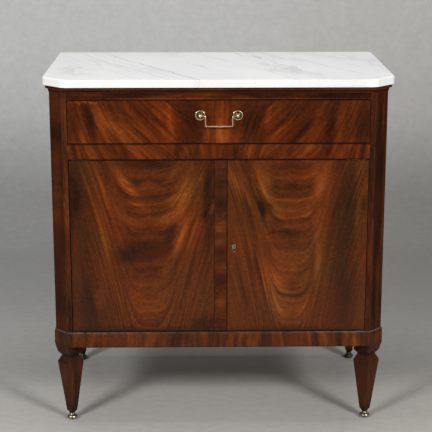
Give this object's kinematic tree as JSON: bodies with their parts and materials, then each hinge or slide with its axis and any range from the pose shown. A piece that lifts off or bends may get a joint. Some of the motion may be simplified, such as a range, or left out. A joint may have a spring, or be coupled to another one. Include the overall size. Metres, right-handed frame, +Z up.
{
  "type": "side cabinet",
  "caption": "Low side cabinet with a marble top and canted front corners: a drawer with a bail handle over a cupboard with two doors, on tapered legs with ball feet.",
  "frame": {"origin": "centre of the footprint of the whole cabinet, on the floor", "axes": "+X to the cabinet's own left as it faces you (the viewer's right), +Y to the back, +Z up"},
  "size_m": [0.904, 0.545, 0.935],
  "materials": {
    "marble": "polished white marble with grey veins",
    "mahogany_veneer": "polished crotch mahogany veneer",
    "mahogany_solid": "polished solid mahogany",
    "mahogany_rails": "polished mahogany, redder than the panels",
    "oak": "unfinished, darkened with age",
    "brass": "aged, dark in the recesses",
    "iron": "dark, dull"
  },
  "bodies": {
    "cabinet": {"back_panel": "oak", "base_band_left": "mahogany_rails", "base_band_right": "mahogany_rails", "bottom_rail": "mahogany_rails", "cove_cant_left": "mahogany_veneer", "cove_cant_right": "mahogany_veneer", "cove_front": "mahogany_veneer", "cove_side_left": "mahogany_veneer", "cove_side_right": "mahogany_veneer", "drawer_runner_left": "oak", "drawer_runner_right": "oak", "dust_board": "oak", "floor_board": "oak", "foot_front_left": "brass", "foot_front_right": "brass", "foot_rear_left": "brass", "foot_rear_right": "brass", "front_post_left": "mahogany_veneer", "front_post_right": "mahogany_veneer", "leg_front_left": "mahogany_solid", "leg_front_right": "mahogany_solid", "leg_rear_left": "mahogany_solid", "leg_rear_right": "mahogany_solid", "marble_top": "marble", "middle_rail": "mahogany_rails", "over_drawer_board": "oak", "pivot_pin_plate_lower_left": "brass", "pivot_pin_plate_lower_right": "brass", "pivot_pin_plate_upper_left": "brass", "pivot_pin_plate_upper_right": "brass", "rear_post_left": "mahogany_veneer", "rear_post_right": "mahogany_veneer", "shelf": "oak", "shelf_bearer_left": "oak", "shelf_bearer_right": "oak", "side_panel_left": "mahogany_veneer", "side_panel_right": "mahogany_veneer", "top_rail": "mahogany_rails"},
    "drawer": {"drawer_back": "oak", "drawer_bottom": "oak", "drawer_front": "mahogany_veneer", "drawer_side_left": "oak", "drawer_side_right": "oak", "handle_post_left": "brass", "handle_post_right": "brass", "handle_rosette_left": "brass", "handle_rosette_right": "brass"},
    "bail": {"handle_bail": "brass"},
    "left_door": {"door_bolt_plate": "iron", "door_left": "mahogany_veneer", "meeting_strip": "mahogany_veneer", "pivot_eye_plate_lower_left": "brass", "pivot_eye_plate_upper_left": "brass"},
    "right_door": {"door_right": "mahogany_veneer", "keyhole_escutcheon": "brass", "lock_case": "brass", "pivot_eye_plate_lower_right": "brass", "pivot_eye_plate_upper_right": "brass"},
    "lock_bolt": {"lock_bolt": "brass"},
    "surface_bolt": {"door_bolt": "iron"}
  },
  "joints": [
    {"name": "drawer_slide", "type": "slide", "parent": "cabinet", "child": "drawer", "axis": [0, -1, 0], "range_m": [0, 0.35]},
    {"name": "bail_swing", "type": "hinge", "parent": "drawer", "child": "bail", "pos_m": [0, -0.2673, 0.842], "axis": [-1, 0, 0], "range_deg": [-17, 197]},
    {"name": "left_door_hinge", "type": "hinge", "parent": "cabinet", "child": "left_door", "pos_m": [-0.3743, -0.2495, 0.493], "axis": [0, 0, -1], "range_deg": [0, 110]},
    {"name": "right_door_hinge", "type": "hinge", "parent": "cabinet", "child": "right_door", "pos_m": [0.3743, -0.2495, 0.493], "axis": [0, 0, 1], "range_deg": [0, 110]},
    {"name": "lock_bolt_throw", "type": "slide", "parent": "right_door", "child": "lock_bolt", "axis": [-1, 0, 0], "range_m": [0, 0.01]},
    {"name": "surface_bolt_slide", "type": "slide", "parent": "left_door", "child": "surface_bolt", "axis": [0, 0, 1], "range_m": [0, 0.012]}
  ]
}
